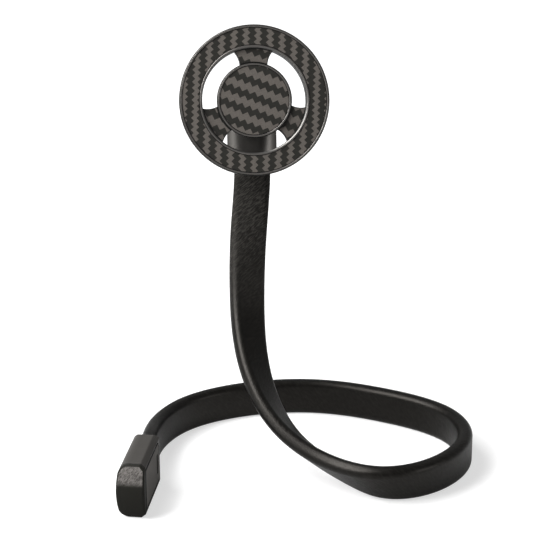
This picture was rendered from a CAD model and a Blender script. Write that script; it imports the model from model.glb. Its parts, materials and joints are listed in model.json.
# Phone holder on a flat bendable arm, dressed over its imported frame, in metres with +Z up
import json
from math import cos, pi, radians, sin

import bpy
import numpy as np
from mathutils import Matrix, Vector


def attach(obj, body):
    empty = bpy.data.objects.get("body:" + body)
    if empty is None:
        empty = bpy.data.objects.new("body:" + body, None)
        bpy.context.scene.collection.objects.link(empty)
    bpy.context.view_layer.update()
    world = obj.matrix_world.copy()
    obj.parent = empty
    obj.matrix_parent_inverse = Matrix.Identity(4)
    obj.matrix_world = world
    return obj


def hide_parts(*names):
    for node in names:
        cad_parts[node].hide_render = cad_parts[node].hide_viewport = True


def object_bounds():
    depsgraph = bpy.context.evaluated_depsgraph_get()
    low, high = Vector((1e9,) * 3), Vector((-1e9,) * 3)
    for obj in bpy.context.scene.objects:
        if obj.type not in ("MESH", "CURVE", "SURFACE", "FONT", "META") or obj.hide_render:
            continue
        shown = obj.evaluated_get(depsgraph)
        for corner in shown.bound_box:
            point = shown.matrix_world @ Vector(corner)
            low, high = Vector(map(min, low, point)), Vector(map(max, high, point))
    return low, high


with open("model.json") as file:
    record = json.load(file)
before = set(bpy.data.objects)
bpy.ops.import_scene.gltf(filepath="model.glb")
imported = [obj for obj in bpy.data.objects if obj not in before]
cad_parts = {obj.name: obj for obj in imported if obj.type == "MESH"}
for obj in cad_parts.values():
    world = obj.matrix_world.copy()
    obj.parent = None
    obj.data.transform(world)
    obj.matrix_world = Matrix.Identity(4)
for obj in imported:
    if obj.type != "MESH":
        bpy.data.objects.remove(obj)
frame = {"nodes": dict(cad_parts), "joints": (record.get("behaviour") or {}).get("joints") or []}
cad_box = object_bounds()

# Arm core: a strip of soft drawn aluminium that keeps the shape the arm is bent to. It lies
# inside the sleeve, cut to length, with a screw through each end.
MM = 0.001


def set_inputs(tree, node, inputs):
    """Gives each of a node's inputs a value, or a link from another node's output."""
    for key, value in inputs.items():
        if isinstance(value, bpy.types.NodeSocket):
            tree.links.new(value, node.inputs[key])
        else:
            node.inputs[key].default_value = value


def add_node(tree, kind, inputs, **settings):
    """Adds a shader node with its settings and inputs."""
    node = tree.nodes.new("ShaderNode" + kind)
    for key, value in settings.items():
        setattr(node, key, value)
    set_inputs(tree, node, inputs)
    return node


def maths(tree, operation, *values):
    """Puts out one operation on up to three numbers."""
    return add_node(tree, "Math", dict(enumerate(values)), operation=operation).outputs[0]


def vectors(tree, operation, first, second):
    """Puts out one operation on two vectors."""
    return add_node(tree, "VectorMath", {0: first, 1: second}, operation=operation).outputs[0]


def position(tree):
    """Puts out the place on the object, in the frame's metres."""
    return add_node(tree, "TexCoord", {}).outputs["Object"]


def noise(tree, place, per_metre, detail, roughness=0.5):
    """Puts out cloudy noise, with a number of clouds to the metre."""
    inputs = {"Vector": place, "Scale": per_metre, "Detail": detail, "Roughness": roughness}
    return add_node(tree, "TexNoise", inputs).outputs["Fac"]


def blend(tree, share, first, second):
    """Puts out a colour between two, by the second one's share."""
    return add_node(tree, "Mix", {0: share, 6: first, 7: second}, data_type="RGBA").outputs[2]


def bumps(tree, height, strength, distance, edge=None):
    """Puts out the normals of a skin in relief; an edge radius also rounds the piece's edges."""
    inputs = {"Height": height, "Strength": strength, "Distance": distance}
    if edge:
        inputs["Normal"] = add_node(tree, "Bevel", {"Radius": edge}, samples=8).outputs["Normal"]
    return add_node(tree, "Bump", inputs).outputs["Normal"]


def new_finish(name):
    """New material; returns it with its node tree and its shader."""
    material = bpy.data.materials.new(name)
    material.use_nodes = True
    return material, material.node_tree, material.node_tree.nodes["Principled BSDF"]


def new_group(name, inputs, outputs):
    """New node group with named sockets; returns its tree, its inputs and its output node."""
    tree = bpy.data.node_groups.new(name, "ShaderNodeTree")
    for in_out, sockets in (("INPUT", inputs), ("OUTPUT", outputs)):
        for socket, kind in sockets.items():
            tree.interface.new_socket(socket, in_out=in_out, socket_type="NodeSocket" + kind)
    return tree, tree.nodes.new("NodeGroupInput").outputs, tree.nodes.new("NodeGroupOutput")


def place_group(tree, group, inputs):
    """Places a node group in a material and returns its outputs."""
    return add_node(tree, "Group", inputs, node_tree=group).outputs


def dress(material, *names):
    """Gives CAD nodes a material."""
    for name in names:
        frame["nodes"][name].material_slots[0].material = material


drawn_lines, ask, give = new_group(
    "drawn_lines",
    {"Vector": "Vector", "Spacing": "Float", "Stretch": "Vector"},
    {"Height": "Float"},
)
stretched = vectors(drawn_lines, "MULTIPLY", ask["Vector"], ask["Stretch"])
per_metre = maths(drawn_lines, "DIVIDE", 1.0, ask["Spacing"])
set_inputs(drawn_lines, give, {"Height": noise(drawn_lines, stretched, per_metre, detail=3.0)})


def metal_finish(name, dull, bright, roughness, spacing, stretch=(1.0, 1.0, 1.0)):
    """Bare metal with fine lines left by drawing, turning or rolling."""
    material, tree, shader = new_finish(name)
    inputs = {"Vector": position(tree), "Spacing": spacing, "Stretch": stretch}
    lines = place_group(tree, drawn_lines, inputs)["Height"]
    set_inputs(tree, shader, {
        "Base Color": blend(tree, lines, dull, bright),
        "Metallic": 1.0,
        "Roughness": roughness,
        "Normal": bumps(tree, lines, strength=0.2, distance=0.02 * MM),
    })
    return material


core_aluminium = metal_finish(
    "drawn_aluminium",
    dull=(0.42, 0.42, 0.43, 1),
    bright=(0.6, 0.6, 0.62, 1),
    roughness=0.38,
    spacing=0.4 * MM,
    stretch=(1.0, 1.0, 0.1),
)
dress(core_aluminium, "arm_core")

# Arm sleeve: a soft black extrusion over the core, flat with round edges, with a fine leathery
# grain. It stands on edge round the base, then twists as it rises to the head.
arm_width = 15.0 * MM
arm_thickness = 6.0 * MM
arm_edge = 2.6 * MM
arm_step = 1.2 * MM
corner_steps = 8
cap_grip = 12.0 * MM
connector_grip = 11.0 * MM
mouth_behind_ball = 13.5 * MM
mouth_below_ball = 24.0 * MM
joints = {joint["name"]: joint for joint in frame["joints"]}
ball = Vector(joints["head_nod"]["pos_m"])
head_up = Vector(joints["head_pan"]["axis"])
head_front = Vector(joints["head_spin"]["axis"])
arm_mouth = ball - head_front * mouth_behind_ball - head_up * mouth_below_ball
cap_turn = radians(10.8)
cap_axis = Vector((sin(cap_turn), cos(cap_turn), 0.0))
cap_exit = Vector((-59.1, -28.4, 10.8)) * MM

# Bends in millimetres: plan position, lift off the table, and roll of the flat side in degrees
arm_bends = [
    (-54.3, 0.0, 0.7, 0),
    (-44.5, 17.5, 0.0, 0),
    (-19.0, 32.0, 0.0, 0),
    (13.0, 34.0, 0.0, 0),
    (42.5, 21.5, 0.0, 0),
    (65.0, 0.0, 0.0, 0),
    (66.0, -26.0, 0.1, 0),
    (28.5, -49.5, 0.6, -26),
    (16.0, -41.0, 1.5, -44),
    (-3.0, -25.0, 9.5, -56),
    (-15.0, -4.0, 28.5, -59),
    (-17.0, 16.5, 53.5, -63),
    (-15.4, 30.0, 77.5, -73),
]
cap_roll = 0
head_roll = -90


def smooth_slopes(knots, values, first, last):
    """Slopes at the knots of the smooth curve through the values, with given end slopes."""
    count = len(knots)
    gaps = np.diff(knots)
    rises = np.diff(values, axis=0) / gaps[:, None]
    rows = np.eye(count)
    sides = np.zeros_like(values)
    sides[0], sides[-1] = first, last
    for i in range(1, count - 1):
        rows[i, i - 1:i + 2] = gaps[i], 2 * (gaps[i - 1] + gaps[i]), gaps[i - 1]
        sides[i] = 3 * (gaps[i] * rises[i - 1] + gaps[i - 1] * rises[i])
    return np.linalg.solve(rows, sides)


def along_curve(knots, values, slopes, places):
    """Values and slopes of the smooth curve at places between its knots."""
    i = np.clip(np.searchsorted(knots, places) - 1, 0, len(knots) - 2)
    gap = (knots[i + 1] - knots[i])[:, None]
    share = (places - knots[i])[:, None] / gap
    rise = values[i + 1] - values[i]
    first, last = slopes[i] * gap, slopes[i + 1] * gap
    bow = (1 - share) * (first - rise) + share * (rise - last)
    curve = values[i] + share * rise + share * (1 - share) * bow
    turn = (1 - 2 * share) * bow + share * (1 - share) * (2 * rise - first - last)
    return curve, (rise + turn) / gap


def run_lengths(points):
    """Length of a line of points from its start to each of them."""
    return np.concatenate([[0.0], np.cumsum(np.linalg.norm(np.diff(points, axis=0), axis=1))])


def arm_route():
    """Points, directions and rolls along the middle of the arm, from the cap to the connector."""
    bends = [Vector((x * MM, y * MM, arm_width / 2 + lift * MM)) for x, y, lift, roll in arm_bends]
    points = np.array([cap_exit, *bends, arm_mouth])
    rolls = np.radians([[cap_roll], *[[roll] for x, y, lift, roll in arm_bends], [head_roll]])
    knots = run_lengths(points)
    places = np.linspace(0.0, knots[-1], int(knots[-1] / arm_step))
    slopes = smooth_slopes(knots, points, first=cap_axis, last=head_up)
    path, ways = along_curve(knots, points, slopes, places)
    slopes = smooth_slopes(knots, rolls, first=0.0, last=0.0)
    turns = along_curve(knots, rolls, slopes, places)[0]
    cap_end = cap_exit - cap_axis * cap_grip
    head_end = arm_mouth + head_up * connector_grip
    path = np.vstack([np.array(cap_end), path, np.array(head_end)])
    ways = np.vstack([np.array(cap_axis), ways, np.array(head_up)])
    return path, ways, np.concatenate([[radians(cap_roll)], turns[:, 0], [radians(head_roll)]])


def arm_outline():
    """Rounded rectangle: places along the arm's width and thickness."""
    outline = []
    for corner, (side, face) in enumerate(((1, 1), (-1, 1), (-1, -1), (1, -1))):
        for step in range(corner_steps + 1):
            angle = (corner + step / corner_steps) * pi / 2
            across = side * (arm_width / 2 - arm_edge) + arm_edge * cos(angle)
            through = face * (arm_thickness / 2 - arm_edge) + arm_edge * sin(angle)
            outline.append((across, through))
    return outline


def skin_faces(rows, ring, first=0):
    """Faces of a closed skin over rings of points laid row by row, with a flat face at each end."""
    faces = []
    for row in range(rows - 1):
        start = first + row * ring
        for i in range(ring):
            j = (i + 1) % ring
            faces.append((start + i, start + j, start + ring + j, start + ring + i))
    last = first + (rows - 1) * ring
    faces.append(tuple(reversed(range(first, first + ring))))
    faces.append(tuple(range(last, last + ring)))
    return faces


def new_mesh(name, points, faces):
    """New mesh of points and faces."""
    mesh = bpy.data.meshes.new(name)
    mesh.from_pydata(points, [], faces)
    return mesh


def add_object(name, data):
    """Adds a mesh, lamp or camera to the scene."""
    added = bpy.data.objects.new(name, data)
    bpy.context.scene.collection.objects.link(added)
    return added


def arm_mesh():
    """Skin of the arm, with a map of lengths along it and round it for its grain."""
    path, ways, rolls = arm_route()
    outline = arm_outline()
    ring = len(outline)
    points = []
    for point, way, roll in zip(path, ways, rolls):
        way = Vector(way).normalized()
        upright = (Vector((0, 0, 1)) - way * way.z).normalized()
        width = upright * cos(roll) + way.cross(upright) * sin(roll)
        depth = way.cross(width)
        points += [Vector(point) + width * across + depth * through for across, through in outline]
    mesh = new_mesh("arm_strip", points, skin_faces(len(path), ring))
    run = run_lengths(path)
    girth = run_lengths(np.array(outline + outline[:1]))
    lengths = mesh.uv_layers.new(name="lengths")
    # The last two faces are the flat ends, hidden in the cap and the connector
    for face in mesh.polygons[:-2]:
        row, column = divmod(face.index, ring)
        corners = ((row, column), (row, column + 1), (row + 1, column + 1), (row + 1, column))
        for loop, (along, around) in zip(face.loop_indices, corners):
            lengths.data[loop].uv = run[along], girth[around]
    mesh.shade_smooth()
    return mesh


def ramp(tree, value, start=0.0, end=1.0, low=0.0, high=1.0, **settings):
    """Puts out low up to start and high from end on, with a slope between them."""
    inputs = {"Value": value, "From Min": start, "From Max": end, "To Min": low, "To Max": high}
    return add_node(tree, "MapRange", inputs, **settings).outputs[0]


def height(tree):
    """Puts out the height of the place on the object."""
    return add_node(tree, "SeparateXYZ", {0: position(tree)}).outputs["Z"]


def slanted(tree, place, slant, stretch):
    """Puts out places turned by a slant and drawn out along it, for grain that runs one way."""
    inputs = {"Vector": place, "Rotation": slant, "Scale": (stretch, 1.0, 1.0)}
    return add_node(tree, "Mapping", inputs, vector_type="TEXTURE").outputs[0]


leather_grain, ask, give = new_group(
    "leather_grain",
    {"Vector": "Vector", "Grain": "Float", "Crease": "Float"},
    {"Height": "Float"},
)
per_metre = maths(leather_grain, "DIVIDE", 1.0, ask["Grain"])
pebbles = add_node(
    leather_grain,
    "TexVoronoi",
    {"Vector": ask["Vector"], "Scale": per_metre, "Smoothness": 0.4},
    feature="SMOOTH_F1",
).outputs["Distance"]
creases = noise(leather_grain, ask["Vector"], per_metre, detail=4.0, roughness=0.65)
creased = maths(leather_grain, "MULTIPLY_ADD", creases, ask["Crease"], pebbles)
set_inputs(leather_grain, give, {"Height": creased})

# The grain runs aslant and stretched, shallow round the base and deep near the head
grain_slant = radians(48.0)
grain_stretch = 6.0
grain_size = 0.36 * MM
crease_share = 2.0
ridge_foot = 1.4
ridge_top = 1.8
smooth_height = 55.0 * MM
grainy_height = 95.0 * MM
shallow_depth = 0.18
sheen_roughness = 0.36
grainy_roughness = 0.7
groove_black = (0.001, 0.00095, 0.0008, 1)
ridge_black = (0.028, 0.0265, 0.0235, 1)
sleeve_skin, tree, shader = new_finish("leathery_sleeve")
lengths = add_node(tree, "UVMap", {}, uv_map="lengths").outputs["UV"]
aslant = slanted(tree, lengths, (0.0, 0.0, grain_slant), grain_stretch)
inputs = {"Vector": aslant, "Grain": grain_size, "Crease": crease_share}
grain = place_group(tree, leather_grain, inputs)["Height"]
near_head = ramp(tree, height(tree), smooth_height, grainy_height)
ridges = ramp(tree, grain, ridge_foot, ridge_top)
relief = maths(tree, "MULTIPLY", ridges, ramp(tree, near_head, low=shallow_depth))
set_inputs(tree, shader, {
    "Base Color": blend(tree, relief, groove_black, ridge_black),
    "Roughness": ramp(tree, near_head, low=sheen_roughness, high=grainy_roughness),
    "Normal": bumps(tree, relief, strength=0.8, distance=0.15 * MM),
    "Specular IOR Level": 0.22,
    "Specular Tint": (1.0, 0.94, 0.87, 1),
})

arm_strip = add_object("arm_strip", arm_mesh())
arm_strip.data.materials.append(sleeve_skin)
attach(arm_strip, "base")
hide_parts("arm_sleeve")

# End cap: a moulded shell with a plate on its inner side and a domed plug, all in satin plastic
# with a fine eroded texture. Two sunk socket screws from the outer side hold it on the arm.
flow_per_metre = 90.0
gloss_swing = 0.08
seam_reach = 0.8 * MM
closed_seam = 0.35
open_skin = 0.9
white = (1, 1, 1, 1)


def dimmed(tree, colour, level):
    """Puts out a colour times a level."""
    return add_node(tree, "VectorMath", {0: colour, "Scale": level}, operation="SCALE").outputs[0]


eroded_skin, ask, give = new_group(
    "eroded_skin", {"Vector": "Vector", "Grain": "Float"}, {"Height": "Float", "Tone": "Float"}
)
per_metre = maths(eroded_skin, "DIVIDE", 1.0, ask["Grain"])
set_inputs(eroded_skin, give, {
    "Height": noise(eroded_skin, ask["Vector"], per_metre, detail=5.0, roughness=0.7),
    "Tone": noise(eroded_skin, ask["Vector"], flow_per_metre, detail=2.0),
})

seam_shade, ask, give = new_group(
    "seam_shade", {"Color": "Color", "Reach": "Float"}, {"Color": "Color"}
)
openness = add_node(seam_shade, "AmbientOcclusion", {"Distance": ask["Reach"]}, samples=8)
shade = ramp(seam_shade, openness.outputs["AO"], closed_seam, open_skin)
set_inputs(seam_shade, give, {"Color": dimmed(seam_shade, ask["Color"], shade)})


def moulded_finish(name, dark, light, roughness, grain, depth, edge, specular=0.5, tint=white):
    """Moulded plastic with a textured skin, soft edges and dark seams."""
    material, tree, shader = new_finish(name)
    skin = place_group(tree, eroded_skin, {"Vector": position(tree), "Grain": grain})
    colour = blend(tree, skin["Tone"], dark, light)
    glossy, dull = roughness - gloss_swing, roughness + gloss_swing
    set_inputs(tree, shader, {
        "Base Color": place_group(tree, seam_shade, {"Color": colour, "Reach": seam_reach})["Color"],
        "Roughness": ramp(tree, skin["Height"], low=glossy, high=dull),
        "Normal": bumps(tree, skin["Height"], strength=0.4, distance=depth, edge=edge),
        "Specular IOR Level": specular,
        "Specular Tint": tint,
    })
    return material


def dot(tree, first, second):
    """Puts out how far one vector reaches along another."""
    return add_node(tree, "VectorMath", {0: first, 1: second}, operation="DOT_PRODUCT").outputs["Value"]


def cap_run(tree):
    """Puts out the distance along the cap, from its mouth towards the plug."""
    return dot(tree, vectors(tree, "SUBTRACT", cap_exit, position(tree)), cap_axis)


def darken(material, level):
    """Dims a finish's colour by a level worked out in its own node tree."""
    tree = material.node_tree
    colour = tree.nodes["Principled BSDF"].inputs["Base Color"]
    tree.links.new(dimmed(tree, colour.links[0].from_socket, level), colour)


# The shell's front rim, round the plug, is left in black shade
rim_start = 27.25 * MM
rim_fade = 0.2 * MM
rim_level = 0.08
shell_skin = moulded_finish(
    "cap_shell_skin",
    dark=(0.035, 0.033, 0.0305, 1),
    light=(0.052, 0.0489, 0.0455, 1),
    roughness=0.48,
    grain=0.35 * MM,
    depth=0.02 * MM,
    edge=1.0 * MM,
    specular=0.15,
)
tree = shell_skin.node_tree
rim = ramp(tree, cap_run(tree), rim_start, rim_start + rim_fade, low=1.0, high=rim_level)
darken(shell_skin, rim)

# A black line of shade follows the plate's upper, lower and front edges, and its slot is black
cover_middle = 10.8 * MM
cover_half = 8.3 * MM
cover_end = 27.2 * MM
shade_width = 0.9 * MM
shade_fade = 0.2 * MM
shade_level = 0.06
slot_run = 5.0 * MM
slot_half_width = 1.1 * MM
slot_half_length = 4.0 * MM
cover_skin = moulded_finish(
    "cap_cover_skin",
    dark=(0.093, 0.0878, 0.0824, 1),
    light=(0.124, 0.117, 0.11, 1),
    roughness=0.6,
    grain=0.35 * MM,
    depth=0.02 * MM,
    edge=0.3 * MM,
    specular=0.03,
)
tree = cover_skin.node_tree
run = cap_run(tree)
off_middle = maths(tree, "ABSOLUTE", maths(tree, "SUBTRACT", height(tree), cover_middle))
inside_side = maths(tree, "SUBTRACT", cover_half, off_middle)
inside_end = maths(tree, "SUBTRACT", cover_end, run)
inside = maths(tree, "MINIMUM", inside_side, inside_end)
off_edge = ramp(tree, inside, shade_width - shade_fade, shade_width, low=shade_level)
by_run = maths(tree, "COMPARE", run, slot_run, slot_half_width)
by_height = maths(tree, "COMPARE", height(tree), cover_middle, slot_half_length)
off_slot = ramp(tree, maths(tree, "MULTIPLY", by_run, by_height), low=1.0, high=shade_level)
darken(cover_skin, maths(tree, "MULTIPLY", off_edge, off_slot))

# The plug's upper part has a light slanted texture, and its side rims are left smooth and black
cap_outside = Vector((0, 0, 1)).cross(cap_axis)
patch_bottom = 13.4 * MM
patch_fade = 2.2 * MM
face_start = 0.66
face_full = 0.7
side_start = 0.3
side_full = 0.45
pit_slant = radians(-55.0)
pit_stretch = 2.5
pit_size = 0.5 * MM
pit_foot = 0.36
pit_top = 0.64
pit_grey = (0.045, 0.0417, 0.0393, 1)
patch_grey = (0.2, 0.187, 0.177, 1)
rim_black = (0.015, 0.0146, 0.0127, 1)
rim_sheen = (0.021, 0.0204, 0.0178, 1)
plug_skin, tree, shader = new_finish("cap_plug_skin")
upper = ramp(
    tree, height(tree), patch_bottom, patch_bottom + patch_fade, interpolation_type="SMOOTHSTEP"
)
normal = add_node(tree, "NewGeometry", {}).outputs["Normal"]
face = ramp(tree, dot(tree, normal, -cap_axis), face_start, face_full)
lean = maths(tree, "ABSOLUTE", dot(tree, normal, cap_outside))
off_sides = ramp(tree, lean, side_start, side_full, low=1.0, high=0.0)
patch = maths(tree, "MULTIPLY", upper, maths(tree, "MULTIPLY", face, off_sides))
aslant = slanted(tree, position(tree), (0.0, pit_slant, 0.0), pit_stretch)
skin = place_group(tree, eroded_skin, {"Vector": aslant, "Grain": pit_size})
coarse = ramp(tree, skin["Height"], pit_foot, pit_top)
light_patch = blend(tree, coarse, pit_grey, patch_grey)
smooth_black = blend(tree, skin["Tone"], rim_black, rim_sheen)
set_inputs(tree, shader, {
    "Base Color": blend(tree, patch, smooth_black, light_patch),
    "Roughness": 0.45,
    "Normal": bumps(tree, skin["Height"], strength=0.4, distance=0.05 * MM, edge=0.8 * MM),
    "Specular IOR Level": 0.03,
})

screw_radius = 1.0 * MM
screw_head_radius = 1.9 * MM
screw_head_height = 1.2 * MM
screw_head_rim = 0.2 * MM
socket_across = 2.0 * MM
socket_depth = 0.8 * MM
socket_flat = pi / 3
screw_steps = 48
black_steel = metal_finish(
    "blackened_steel",
    dull=(0.06, 0.059, 0.057, 1),
    bright=(0.1, 0.098, 0.095, 1),
    roughness=0.32,
    spacing=0.3 * MM,
)


def socket_screws(name, node, along, out):
    """Two screws with hexagon sockets, in a row along one way, where a CAD node has its plain ones."""
    across = out.cross(along)
    corners = np.array([vertex.co for vertex in frame["nodes"][node].data.vertices])
    reach, spread, depths = (corners @ np.array(way) for way in (along, across, out))
    middle = (spread.min() + spread.max()) / 2
    top = depths.max()
    rings = [
        (depths.min(), screw_radius, False),
        (top - screw_head_height, screw_radius, False),
        (top - screw_head_height, screw_head_radius, False),
        (top - screw_head_rim, screw_head_radius, False),
        (top, screw_head_radius - screw_head_rim, False),
        (top, socket_across / 2, True),
        (top - socket_depth, socket_across / 2, True),
    ]
    points = []
    faces = []
    for centre in (reach.min() + screw_head_radius, reach.max() - screw_head_radius):
        faces += skin_faces(len(rings), screw_steps, len(points))
        for depth, radius, six_sided in rings:
            for step in range(screw_steps):
                angle = 2 * pi * step / screw_steps
                off_flat = (angle + socket_flat / 2) % socket_flat - socket_flat / 2
                far = radius / cos(off_flat) if six_sided else radius
                sideways = along * (centre + far * cos(angle)) + across * (middle + far * sin(angle))
                points.append(sideways + out * depth)
    mesh = new_mesh(name, points, faces)
    mesh.shade_smooth()
    mesh.set_sharp_from_angle(angle=radians(30))
    mesh.materials.append(black_steel)
    screws = add_object(name, mesh)
    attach(screws, "base")
    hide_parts(node)


socket_screws("end_cap_socket_screws", "end_cap_screws", cap_axis, cap_outside)
dress(shell_skin, "end_cap_shell")
dress(cover_skin, "end_cap_cover")
dress(plug_skin, "end_cap_plug")

# Connector: two moulded half shells that grip the top of the arm, screwed together from the
# back. Their skin is smoother than the cap's and shows the side lights as bright bands.
connector_skin = moulded_finish(
    "connector_skin",
    dark=(0.02, 0.019, 0.018, 1),
    light=(0.028, 0.027, 0.025, 1),
    roughness=0.32,
    grain=0.3 * MM,
    depth=0.006 * MM,
    edge=0.4 * MM,
    specular=0.9,
    tint=(1.0, 0.95, 0.89, 1),
)
dress(connector_skin, "connector_front", "connector_back")
socket_screws("connector_socket_screws", "connector_screws", head_up, -head_front)

# Ball stud: a ball, neck and flange turned from one steel bar and polished. Its shank goes
# through the front of the connector, where a blackened washer and nut hold it.
polished_steel = metal_finish(
    "polished_steel",
    dull=(0.5, 0.5, 0.51, 1),
    bright=(0.62, 0.62, 0.63, 1),
    roughness=0.16,
    spacing=0.5 * MM,
)
dress(polished_steel, "ball_stud")
dress(black_steel, "stud_washer", "stud_nut")

# Ball seat and socket collar: a liner of pale moulded nylon round the ball, and the tapered
# ring round the head's socket that keeps liner and ball in, in the black of the head itself.
pale_nylon = moulded_finish(
    "pale_nylon",
    dark=(0.55, 0.53, 0.48, 1),
    light=(0.66, 0.64, 0.58, 1),
    roughness=0.42,
    grain=0.4 * MM,
    depth=0.01 * MM,
    edge=0.2 * MM,
)
chassis_skin = moulded_finish(
    "chassis_skin",
    dark=(0.011, 0.011, 0.01, 1),
    light=(0.017, 0.017, 0.016, 1),
    roughness=0.42,
    grain=0.3 * MM,
    depth=0.015 * MM,
    edge=0.3 * MM,
)
dress(pale_nylon, "ball_seat")
dress(chassis_skin, "socket_collar")

# Head chassis: one black plastic moulding with the magnet trough, three spokes, the hub and the
# socket. It turns on the ball, and carries the bezel, the disc and the films on its front.
dress(chassis_skin, "head_chassis")

# Back iron and magnets: a plated steel ring glued into the trough, and sixteen nickel-plated
# magnets standing on it, closed in by the bezel.
plated_iron = metal_finish(
    "plated_iron",
    dull=(0.26, 0.26, 0.27, 1),
    bright=(0.34, 0.34, 0.35, 1),
    roughness=0.35,
    spacing=0.6 * MM,
)
bright_nickel = metal_finish(
    "bright_nickel",
    dull=(0.42, 0.41, 0.39, 1),
    bright=(0.52, 0.51, 0.48, 1),
    roughness=0.22,
    spacing=0.8 * MM,
)
magnet_names = [name for name in frame["nodes"] if name.startswith("magnet_")]
dress(plated_iron, "back_iron")
dress(bright_nickel, *magnet_names)

# Ring bezel and centre disc: turned aluminium, anodised dark grey. The flat lips and the inner
# bevels are cut again after anodising, so they stay paler than the rims.
face_before_ball = 11.0 * MM
face_centre = ball + head_front * face_before_ball
line_spacing = 0.25 * MM
lip_facing = 0.95
bevel_facing = cos(pi / 4)
bevel_spread = 0.15
dye_dark = (0.022, 0.021, 0.0195, 1)
dye_light = (0.036, 0.0345, 0.032, 1)
lip_cut = (0.19, 0.18, 0.17, 1)
bevel_cut = (0.16, 0.155, 0.148, 1)
rim_reach = 0.6 * MM
anodised_grey, tree, shader = new_finish("anodised_grey")
place = position(tree)
inputs = {"Vector": place, "Spacing": line_spacing, "Stretch": (1.0, 1.0, 1.0)}
lines = place_group(tree, drawn_lines, inputs)["Height"]
dye = blend(tree, lines, dye_dark, dye_light)
normal = add_node(tree, "NewGeometry", {}).outputs["True Normal"]
facing = dot(tree, normal, head_front)
lipped = blend(tree, maths(tree, "GREATER_THAN", facing, lip_facing), dye, lip_cut)
on_bevel = maths(tree, "COMPARE", facing, bevel_facing, bevel_spread)
outward = dot(tree, normal, vectors(tree, "SUBTRACT", place, face_centre))
inner_bevel = maths(tree, "MULTIPLY", on_bevel, maths(tree, "LESS_THAN", outward, 0.0))
cut = blend(tree, inner_bevel, lipped, bevel_cut)
set_inputs(tree, shader, {
    "Base Color": place_group(tree, seam_shade, {"Color": cut, "Reach": rim_reach})["Color"],
    "Metallic": 1.0,
    "Roughness": 0.36,
    "Normal": bumps(tree, lines, strength=0.15, distance=0.02 * MM, edge=0.35 * MM),
})
dress(anodised_grey, "ring_bezel", "centre_disc")

# Films: thin sheets printed with a zigzag weave under a clear gloss, stuck into the ring, on
# the spokes and into the disc. The ring's bands stand upright and the others slope.
head_across = head_up.cross(head_front)
half_wave = 0.5
thread_width = 0.32 * MM
specks_per_metre = 2200.0
speck_swing = 0.3
weave_dark = (0.0205, 0.0198, 0.0175, 1)
weave_light = (0.096, 0.0862, 0.0775, 1)
zigzag_weave, ask, give = new_group(
    "zigzag_weave",
    {
        **dict.fromkeys(("Vector", "Centre", "Along", "Across"), "Vector"),
        **dict.fromkeys(("Tooth", "Swing", "Period", "Share", "Thread"), "Float"),
    },
    {"Light": "Float", "Height": "Float"},
)
off_centre = vectors(zigzag_weave, "SUBTRACT", ask["Vector"], ask["Centre"])
along = dot(zigzag_weave, off_centre, ask["Along"])
across = dot(zigzag_weave, off_centre, ask["Across"])
teeth = maths(zigzag_weave, "DIVIDE", along, ask["Tooth"])
zigzag = maths(zigzag_weave, "PINGPONG", teeth, half_wave)
shifted = maths(zigzag_weave, "MULTIPLY_ADD", zigzag, ask["Swing"], across)
bands = maths(zigzag_weave, "DIVIDE", shifted, ask["Period"])
light_band = maths(zigzag_weave, "LESS_THAN", maths(zigzag_weave, "FRACT", bands), ask["Share"])
rising = maths(zigzag_weave, "ADD", along, across)
falling = maths(zigzag_weave, "SUBTRACT", along, across)
inputs = {0: light_band, 2: rising, 3: falling}
thread_way = add_node(zigzag_weave, "Mix", inputs, data_type="FLOAT").outputs[0]
threads = maths(zigzag_weave, "DIVIDE", thread_way, ask["Thread"])
thread_height = maths(zigzag_weave, "PINGPONG", threads, half_wave)
set_inputs(zigzag_weave, give, {"Light": light_band, "Height": thread_height})


def film_finish(name, turn, tooth, swing, period, share, shift):
    """Printed weave under gloss: bands at a turn from level, shifted from the face's centre."""
    material, tree, shader = new_finish(name)
    along = head_across * cos(turn) + head_up * sin(turn)
    across = head_up * cos(turn) - head_across * sin(turn)
    weave = place_group(tree, zigzag_weave, {
        "Vector": position(tree),
        "Centre": face_centre + along * shift[0] + across * shift[1],
        "Along": along,
        "Across": across,
        "Tooth": tooth,
        "Swing": swing,
        "Period": period,
        "Share": share,
        "Thread": thread_width,
    })
    ink = blend(tree, weave["Light"], weave_dark, weave_light)
    mottle = noise(tree, position(tree), specks_per_metre, detail=3.0)
    specks = ramp(tree, mottle, low=1.0 - speck_swing, high=1.0 + speck_swing)
    set_inputs(tree, shader, {
        "Base Color": dimmed(tree, ink, specks),
        "Roughness": 0.42,
        "Normal": bumps(tree, weave["Height"], strength=0.12, distance=0.012 * MM),
        "Specular IOR Level": 0.14,
    })
    return material


ring_weave = film_finish(
    "ring_weave",
    turn=radians(87.1),
    tooth=2.38 * MM,
    swing=2.4 * MM,
    period=4.8 * MM,
    share=0.44,
    shift=(1.61 * MM, -1.1 * MM),
)
centre_weave = film_finish(
    "centre_weave",
    turn=radians(-21.0),
    tooth=3.23 * MM,
    swing=3.1 * MM,
    period=5.8 * MM,
    share=0.52,
    shift=(-0.96 * MM, -2.62 * MM),
)
dress(ring_weave, "ring_film")
dress(centre_weave, "spoke_film_1", "spoke_film_2", "spoke_film_3", "centre_film")

# Floor: a plain pale table top, one flat sheet under the object. It is left white to the camera
# apart from the object's shadow, for which it glows less near the middle.
floor_reach = 4.0
floor_mirror_share = 0.3
dim_reach = 0.15
full_reach = 0.6
dim_glow = 0.6


def seen_directly(tree, mirror_share):
    """Puts out 1 to the camera and through glass, a share to mirrors, and 0 to what it lights."""
    ray = add_node(tree, "LightPath", {}).outputs
    straight = maths(tree, "MAXIMUM", ray["Is Camera Ray"], ray["Is Transmission Ray"])
    mirrored = maths(tree, "MULTIPLY", ray["Is Glossy Ray"], mirror_share)
    return maths(tree, "MAXIMUM", straight, mirrored)


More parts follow.
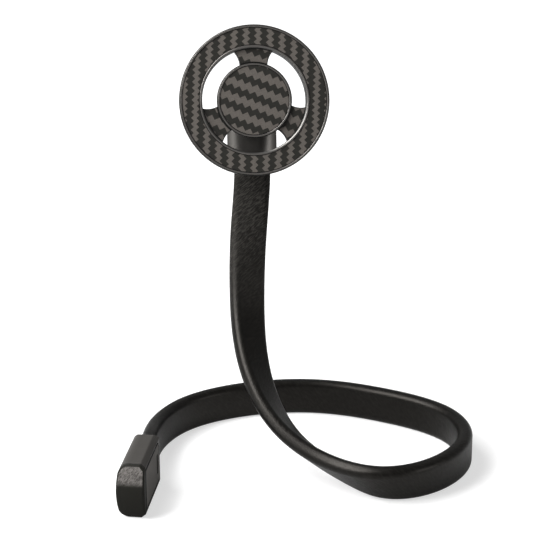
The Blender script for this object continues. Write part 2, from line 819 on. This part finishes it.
floor_white, tree, shader = new_finish("floor_white")
distance = add_node(tree, "VectorMath", {0: position(tree)}, operation="LENGTH").outputs["Value"]
fade = ramp(tree, distance, dim_reach, full_reach, low=dim_glow)
set_inputs(tree, shader, {
    "Base Color": (0.5, 0.5, 0.5, 1),
    "Roughness": 0.9,
    "Specular IOR Level": 0.0,
    "Emission Color": white,
    "Emission Strength": maths(tree, "MULTIPLY", seen_directly(tree, floor_mirror_share), fade),
})
corners = [(-floor_reach, -floor_reach), (floor_reach, -floor_reach)]
corners += [(floor_reach, floor_reach), (-floor_reach, floor_reach)]
floor_sheet = new_mesh("floor", [(x, y, cad_box[0].z) for x, y in corners], [(0, 1, 2, 3)])
floor = add_object("floor", floor_sheet)
floor.data.materials.append(floor_white)

# Light: a large soft box at the upper left, two small ones above and behind it, and a small low
# one on each side, in a dim grey room that is white only where it is seen directly.
aim = Vector((0.0, 0.0, 0.07))
room_mirror_share = 0.1
room_light = 0.2


def soft_box(name, turn, climb, distance, width, tall, power):
    """Area lamp aimed at the middle of the object, from a turn off the front and a climb in degrees."""
    away = Vector((sin(radians(turn)), -cos(radians(turn)), 0.0)) * cos(radians(climb))
    away.z = sin(radians(climb))
    lamp = bpy.data.lights.new(name, "AREA")
    lamp.shape = "RECTANGLE"
    lamp.size = width
    lamp.size_y = tall
    lamp.energy = power
    box = add_object(name, lamp)
    box.location = aim + away * distance
    box.rotation_euler = away.to_track_quat("Z", "Y").to_euler()


soft_box("key_box", turn=-72, climb=40, distance=0.75, width=0.45, tall=0.4, power=8.0)
soft_box("high_box", turn=-78, climb=64, distance=0.7, width=0.25, tall=0.25, power=2.0)
soft_box("rear_box", turn=-116, climb=56, distance=0.7, width=0.2, tall=0.2, power=2.2)
soft_box("left_box", turn=-63, climb=8, distance=0.8, width=0.2, tall=0.2, power=0.7)
soft_box("right_box", turn=60, climb=8, distance=0.8, width=0.2, tall=0.2, power=1.1)

room = bpy.data.worlds.new("room")
room.use_nodes = True
tree = room.node_tree
strength = ramp(tree, seen_directly(tree, room_mirror_share), low=room_light)
set_inputs(tree, tree.nodes["Background"], {"Color": white, "Strength": strength})
bpy.context.scene.world = room

# Camera: a long lens from the front, a little to the left, looking down on the holder at the
# photograph's angle.
camera_tilt = radians(71.36)
camera_turn = radians(-4.0)
camera = add_object("camera", bpy.data.cameras.new("camera"))
camera.location = (-49.3 * MM, -558.5 * MM, 267.3 * MM)
camera.rotation_euler = (camera_tilt, 0.0, camera_turn)
camera.data.sensor_width = 36.0
camera.data.lens = 101.35
bpy.context.scene.camera = camera
bpy.context.scene.view_settings.view_transform = "Standard"
